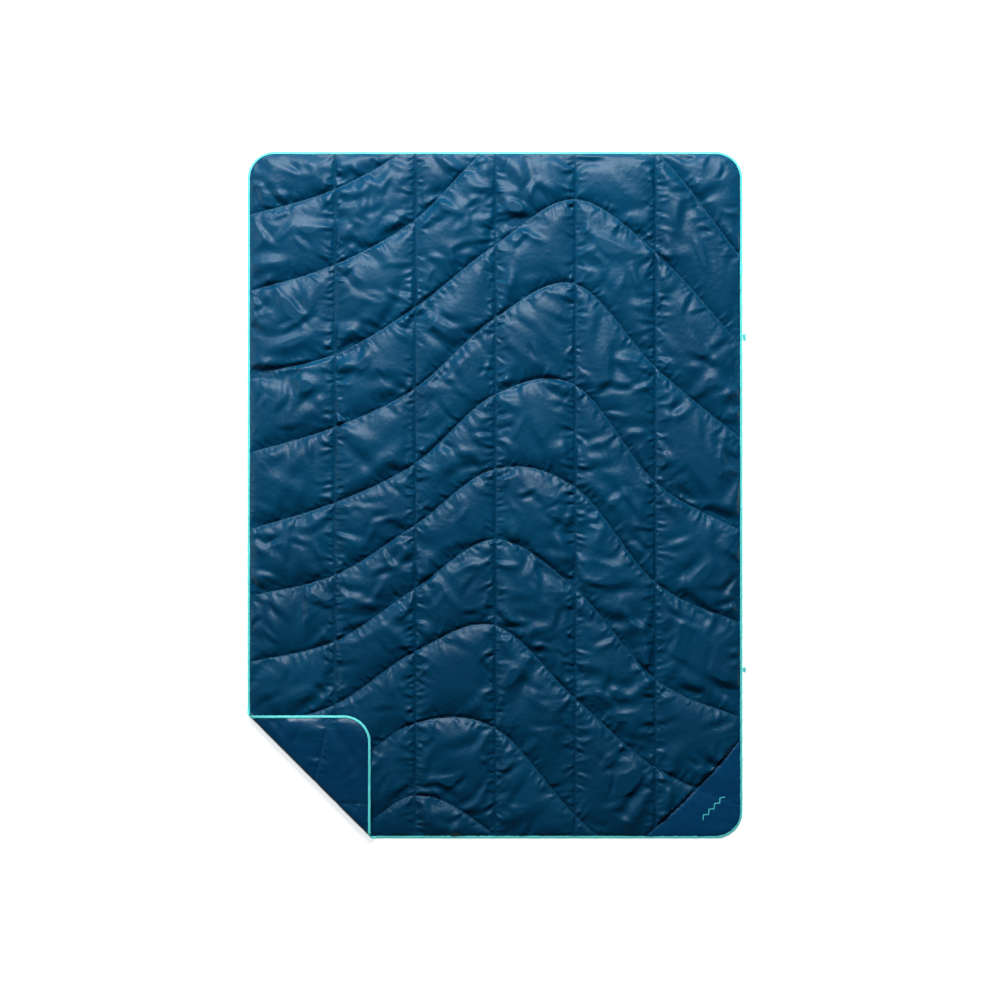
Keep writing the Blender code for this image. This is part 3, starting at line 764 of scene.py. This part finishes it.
# =============================================================== binding
def tape_ring():
    """The folded tape all round the edge: (points, quads, the flat place of each quad)."""
    rim, outs = outline_points(0, TAPE_SPACING)
    step = np.hypot(*np.diff(rim, axis=0, append=rim[:1]).T)
    along = np.concatenate(([0], np.cumsum(step)[:-1]))
    section = [(TAPE_WIDTH + 0.0002, SEAM_FACE_Z - 0.0006), (TAPE_WIDTH, TAPE_TOP - 0.0003),
               (TAPE_WIDTH * 0.93, TAPE_TOP), (TAPE_WIDTH * 0.78, TAPE_TOP - 0.0002), (TAPE_WIDTH * 0.5, TAPE_TOP),
               (TAPE_WIDTH * 0.25, TAPE_TOP - 0.0002), (0.0007, TAPE_TOP - 0.0008), (0.0, TAPE_TOP / 2),
               (0.0007, 0.0005), (TAPE_WIDTH * 0.3, 0.0), (TAPE_WIDTH * 0.93, 0.0001), (TAPE_WIDTH, 0.0006),
               (TAPE_WIDTH, 0.0022)]
    gather = ripple(along, 301, 0.0085) + 0.5 * ripple(along, 302, 0.0048)
    wander = ripple(along, 303, 0.05)
    rows = []
    for inset, z in section:
        share = inset / TAPE_WIDTH
        shift = 0.00035 * share * wander - 0.0003 * (1 - share) * gather
        rows.append(np.column_stack((rim - outs * (inset + shift)[:, None],
                                     z + (0.00035 * gather * (0.3 + share) if z > SEAM_BACK_Z else 0 * gather))))
    count, wide = len(rim), len(section)
    points = np.stack(rows, axis=1).reshape(-1, 3)
    i = np.arange(count)[:, None]
    j = np.arange(wide)[None]
    following, across = (i + 1) % count, (j + 1) % wide
    quads = np.stack([i * wide + j, i * wide + across, following * wide + across, following * wide + j], axis=2)
    return points, quads.reshape(-1, 4), np.repeat(rim, wide, axis=0)


# =============================================================== colours and finishes
def linear(red, green, blue):
    """Linear colour of an sRGB one given from 0 to 255."""
    shares = np.array((red, green, blue)) / 255
    return (*np.where(shares <= 0.04045, shares / 12.92, ((shares + 0.055) / 1.055) ** 2.4), 1.0)


def make_finish(name, colour, other_colour, roughness, patches=6.0, bumps=(), sheen=0.0, specular=0.5):
    """A Principled finish whose colour wanders between two shades, with bumps of (scale, height, detail)."""
    finish = bpy.data.materials.new(name)
    finish.use_nodes = True
    nodes, links = finish.node_tree.nodes, finish.node_tree.links
    shader = nodes["Principled BSDF"]
    shader.inputs["Specular IOR Level"].default_value = specular
    shader.inputs["Sheen Weight"].default_value = sheen
    shader.inputs["Sheen Roughness"].default_value = 0.35
    shader.inputs["Sheen Tint"].default_value = colour
    place = nodes.new("ShaderNodeTexCoord").outputs["Object"]

    def noise(scale, detail):
        """A noise output in the object's own coordinates."""
        node = nodes.new("ShaderNodeTexNoise")
        node.inputs["Scale"].default_value = scale
        node.inputs["Detail"].default_value = detail
        links.new(place, node.inputs["Vector"])
        return node.outputs["Fac"]

    def spread(value, low, high):
        """The middle of a noise's range spread over low to high."""
        node = nodes.new("ShaderNodeMapRange")
        node.inputs["From Min"].default_value = 0.3
        node.inputs["From Max"].default_value = 0.7
        node.inputs["To Min"].default_value = low
        node.inputs["To Max"].default_value = high
        links.new(value, node.inputs["Value"])
        return node.outputs["Result"]

    shades = nodes.new("ShaderNodeMix")
    shades.data_type = "RGBA"
    shades.inputs[6].default_value = colour
    shades.inputs[7].default_value = other_colour
    links.new(spread(noise(patches, 3.0), 0.0, 1.0), shades.inputs[0])
    links.new(shades.outputs[2], shader.inputs["Base Color"])
    links.new(spread(noise(patches * 5, 4.0), roughness - 0.04, roughness + 0.05), shader.inputs["Roughness"])
    normal = None
    for scale, height, detail in bumps:
        bump = nodes.new("ShaderNodeBump")
        bump.inputs["Distance"].default_value = height
        links.new(noise(scale, detail), bump.inputs["Height"])
        if normal:
            links.new(normal, bump.inputs["Normal"])
        normal = bump.outputs["Normal"]
    if normal:
        links.new(normal, shader.inputs["Normal"])
    return finish


FACE_NYLON = make_finish("face_nylon", linear(0, 64, 94), linear(0, 72, 103), 0.42, patches=5.0, specular=0.27,
                         bumps=((70, 0.0007, 2.0), (1800, 0.00012, 1.0)))
BACK_NYLON = make_finish("back_nylon", linear(0, 62, 96), linear(0, 68, 102), 0.34, patches=5.0, specular=0.42,
                         bumps=((30, 0.0012, 2.0), (1800, 0.00010, 1.0)))
PATCH_NYLON = make_finish("patch_nylon", linear(0, 70, 110), linear(0, 76, 116), 0.46, patches=8.0, specular=0.27,
                          bumps=((25, 0.0020, 2.0), (1800, 0.00010, 1.0)))
TAPE = make_finish("binding_tape", linear(96, 214, 212), linear(114, 228, 225), 0.62, patches=30.0, sheen=0.3,
                   bumps=((700, 0.00035, 2.0),))
WAVE_THREAD = make_finish("wave_thread", linear(58, 116, 146), linear(70, 128, 156), 0.50, patches=60.0)
CHANNEL_THREAD = make_finish("channel_thread", linear(6, 40, 66), linear(14, 52, 80), 0.55, patches=60.0)
TAPE_THREAD = make_finish("tape_thread", linear(70, 190, 190), linear(84, 200, 198), 0.55, patches=60.0)
FIBRE = make_finish("fill_fibre", linear(232, 232, 228), linear(244, 244, 240), 0.9, patches=40.0,
                    bumps=((300, 0.002, 4.0),))
INK = make_finish("print_ink", linear(80, 190, 196), linear(88, 198, 204), 0.50, patches=60.0)
WEBBING = make_finish("tab_webbing", linear(70, 196, 196), linear(84, 208, 206), 0.6, patches=60.0, sheen=0.2,
                      bumps=((900, 0.0004, 2.0),))
CLIP_PLASTIC = make_finish("clip_plastic", linear(62, 190, 192), linear(66, 195, 196), 0.35, patches=60.0,
                           bumps=((1500, 0.00008, 1.0),))


# =============================================================== cloth pieces
FACE_NODES = {TURNED: ["face_cloth_corner"], 1: ["face_cloth_left"], 5: ["face_cloth_right"]}
BACK_NODES = {TURNED: ["back_cloth_corner"], 1: ["back_cloth_left"], 5: ["back_cloth_right"]}
FILL_NODES = {number: [f"fill_channel_{number}"] for number in range(1, 7)}
FILL_NODES[TURNED] = ["fill_corner_inner", "fill_corner_outer"]

xy, tris, sewn, seam_edges = triangulate()
co = inflate(xy, tris, sewn)
middle = xy[tris].mean(axis=1)
region = region_of(middle[:, 0], middle[:, 1])
under_patch = patch_depth(middle[:, 0], middle[:, 1]) > 0
co[:, 2] = patch_height(xy, co[:, 2])

face, quads = refine(co, tris, seam_edges)
fold_lift = loose_folds(face)
face = add_puckers(add_folds(face, fold_lift))
quad_region = np.repeat(region, 3)
quad_under_patch = np.repeat(under_patch, 3)

for number, name in enumerate(REGIONS):
    mine = (quad_region == number) & ~quad_under_patch
    cloth = piece_from(f"face_shell_{name}", face, quads[mine], FACE_NYLON)
    carry(cloth, number)
    stand_for(cloth, *FACE_NODES.get(number, ()))
    chosen = (region == number) & ~under_patch

back = co.copy()
back[:, 2] = back_height(co, tris)
back_fine = refine(back, tris, seam_edges)[0]
back_fine[:, 2] -= FLAP_FOLD_SHARE * flap_free(face) * fold_lift
for number, name in enumerate(REGIONS):
    chosen = region == number
    if number in (TURNED, FOLD):
        cloth = piece_from(f"back_shell_{name}", back_fine, quads[quad_region == number][:, ::-1], BACK_NYLON)
    else:
        cloth = piece_from(f"back_shell_{name}", back, tris[chosen][:, ::-1], BACK_NYLON)
    carry(cloth, number)
    stand_for(cloth, *BACK_NODES.get(number, ()))

upper, under = face[:len(co)], back_fine[:len(co)]
room = (upper - under)[:, 2][tris].min(axis=1)
bend_place = fold_distance(middle[:, 0], middle[:, 1]) + BEND_RADIUS
filled = (room > BATT_LEAST_ROOM) & ~under_patch & ((bend_place < 0) | (bend_place > BEND_LENGTH))
for number, name in enumerate(REGIONS):
    batt = batt_between(f"fill_batt_{name}", upper, under, tris[(region == number) & filled])
    carry(batt, number)
    stand_for(batt, *FILL_NODES.get(number, ()))


# =============================================================== stitch rows
WAVE_NODES = {TURNED: nodes_like("wave_stitch_h_corner", "wave_stitch_i_corner", "wave_stitch_j_corner"),
              2: [name for name in nodes_like("wave_stitch") if name.endswith("_left")],
              5: [name for name in nodes_like("wave_stitch") if name.endswith("_right")]}
CHANNEL_NODES = {1: ["channel_stitch_1_left"], 2: ["channel_stitch_2_left"],
                 4: ["channel_stitch_3_left", "channel_stitch_3_right"],
                 5: ["channel_stitch_4_right"], 6: ["channel_stitch_5_right"]}
stitch_pieces("wave_stitches", seam_paths("wave"), SEAM_FACE_Z + STITCH_RADIUS * 0.6, WAVE_THREAD,
              lambda number: WAVE_NODES.get(number, ()))
stitch_pieces("channel_stitches", seam_paths("channel"), SEAM_FACE_Z + STITCH_RADIUS * 0.5, CHANNEL_THREAD,
              lambda number: CHANNEL_NODES.get(number, ()))
stitch_pieces("back_wave_stitches", seam_paths("wave"), SEAM_BACK_Z - STITCH_RADIUS * 0.6, WAVE_THREAD)
stitch_pieces("back_channel_stitches", seam_paths("channel"), SEAM_BACK_Z - STITCH_RADIUS * 0.5, CHANNEL_THREAD)
rim_path = outline_points(TAPE_STITCH_INSET, TAPE_SPACING)[0]
stitch_pieces("tape_stitches", [np.vstack((rim_path, rim_path[:1]))], TAPE_TOP - 0.0001, TAPE_THREAD)

# =============================================================== tape
tape_points, tape_quads, tape_places = tape_ring()
tape_region = region_of(tape_places[:, 0], tape_places[:, 1])
TAPE_PARTS = {
    "binding_turned_corner": ((TURNED,), TURNED, ["binding_corner"]),
    "binding_corner_fold": ((FOLD,), FOLD, []),
    "binding_left_side": ((1, 2), 1, ["binding_left"]),
    "binding_middle": ((3, 4), 3, ["binding_foot"]),
    "binding_right_side": ((5, 6), 5, ["binding_right"]),
}
for name, (numbers, carrier, nodes) in TAPE_PARTS.items():
    tape = piece_from(name, tape_points, tape_quads[np.isin(tape_region, numbers)], TAPE)
    carry(tape, carrier)
    stand_for(tape, *nodes)

# =============================================================== corner patch
patch_quads = quads[quad_under_patch]
patch_points = face.copy()
patch_points[:, 2] += 0.0005
patch = piece_from("corner_patch_panel", patch_points, patch_quads, PATCH_NYLON)
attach(patch, "right")
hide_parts("corner_patch")
patch_surface = BVHTree.FromPolygons(patch_points.tolist(), patch_quads.tolist())


def on_patch(places, clearance):
    """Heights just above the patch at flat places."""
    hits = [patch_surface.ray_cast(Vector((p[0], p[1], 1)), Vector((0, 0, -1)))[0] for p in places]
    return np.array([hit.z if hit else SEAM_FACE_Z for hit in hits]) + clearance


for inset, node in zip(PATCH_STITCHES, ("patch_stitch_outer", "patch_stitch_inner")):
    line = patch_line(np.linspace(0, 1, 200), inset)
    line = line[margin(line[:, 0], line[:, 1]) > TAPE_WIDTH]
    spots, ahead = stitch_places(line)
    row_points, row_faces, _ = stitches(spots, ahead, on_patch(spots, 0.0001))
    row = piece_from(node + "_row", row_points, row_faces, WAVE_THREAD)
    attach(row, "right")
    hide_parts(node)

chord = PATCH_HEAD_END - PATCH_FOOT_END
chord = chord / np.hypot(*chord)
inward = np.array((chord[1], -chord[0]))
zigzag = np.array([patch_line([0.5], MOTIF_DEPTH)[0] + chord * MOTIF_LENGTH * (step / (2 * MOTIF_PEAKS) - 0.5)
                   - inward * (MOTIF_RISE if step % 2 else 0) for step in range(2 * MOTIF_PEAKS + 1)])
middle_line = even(zigzag, 0.0012)
band = np.stack([middle_line - inward * MOTIF_STROKE * 0.6, middle_line + inward * MOTIF_STROKE * 0.6], axis=1)
band = band.reshape(-1, 2)
count = len(middle_line)
row = np.arange(count - 1)[:, None] * 2
band_quads = row + np.array([[0, 2, 3, 1]])
print_points = np.column_stack((band, on_patch(band, 0.0003)))
motif = piece_from("patch_print", print_points, band_quads, INK)
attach(motif, "right")
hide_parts("patch_motif")


# =============================================================== tabs
def softened(node, name, body, finish, edge, segments=3):
    """A rounded and finer copy of a small CAD node."""
    solid = bmesh.new()
    solid.from_mesh(frame["nodes"][node].data)
    bmesh.ops.remove_doubles(solid, verts=solid.verts, dist=1e-6)
    bmesh.ops.dissolve_limit(solid, angle_limit=math.radians(2), verts=solid.verts, edges=solid.edges)
    sharp = [e for e in solid.edges if len(e.link_faces) == 2 and e.calc_face_angle() > math.radians(20)]
    bmesh.ops.bevel(solid, geom=sharp, offset=edge, segments=segments, profile=0.5, affect="EDGES",
                    clamp_overlap=True)
    for f in solid.faces:
        f.smooth = True
    piece = solid_piece(name, solid, finish)
    weight = piece.modifiers.new("flat faces", "WEIGHTED_NORMAL")
    weight.keep_sharp = True
    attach(piece, body)
    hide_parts(node)
    return piece


for side in ("upper", "lower"):
    softened(f"{side}_tab_webbing", f"{side}_tab_loop", f"{side}_tab", WEBBING, 0.0004)
    softened(f"{side}_clip_half", f"{side}_clip_body", f"{side}_tab", CLIP_PLASTIC, 0.0007, 4)


# =============================================================== studio
def make_light(name, place, target, size, power):
    """A rectangular area light that looks at its target."""
    lamp = bpy.data.lights.new(name, "AREA")
    lamp.shape = "RECTANGLE"
    lamp.size, lamp.size_y = size
    lamp.energy = power
    light = add_object(name, lamp)
    light.location = place
    light.rotation_euler = (Vector(target) - Vector(place)).to_track_quat("-Z", "Y").to_euler()


make_light("key", (-0.2, 3.1, 2.8), (0, 0.1, 0), (3.2, 1.8), 270)
make_light("side_fill", (-3.6, 0.4, 1.5), (0, 0, 0), (1.6, 1.0), 22)
world = bpy.data.worlds.new("studio")
world.use_nodes = True
background = world.node_tree.nodes["Background"]
background.inputs["Color"].default_value = (1, 1, 1, 1)
background.inputs["Strength"].default_value = 0.03
scene = bpy.context.scene
scene.world = world
scene.view_settings.view_transform = "Standard"
scene.view_settings.look = "Medium High Contrast"

floor_mesh = bpy.data.meshes.new("floor")
floor_mesh.from_pydata([(-12, -12, 0), (12, -12, 0), (12, 12, 0), (-12, 12, 0)], [], [(0, 1, 2, 3)])
floor_mesh.materials.append(make_finish("floor", (0.90, 0.90, 0.90, 1), (0.92, 0.92, 0.92, 1), 0.8, patches=1.0))
floor = add_object("floor", floor_mesh)
floor.location.z = -0.0005
floor_shader = floor_mesh.materials[0].node_tree.nodes["Principled BSDF"]
floor_shader.inputs["Emission Color"].default_value = (1, 1, 1, 1)
floor_shader.inputs["Emission Strength"].default_value = 0.6

camera = add_object("camera", bpy.data.cameras.new("camera"))
camera.data.lens = 85
camera.location = (CENTRE_X, 0, CAMERA_HEIGHT)
scene.camera = camera
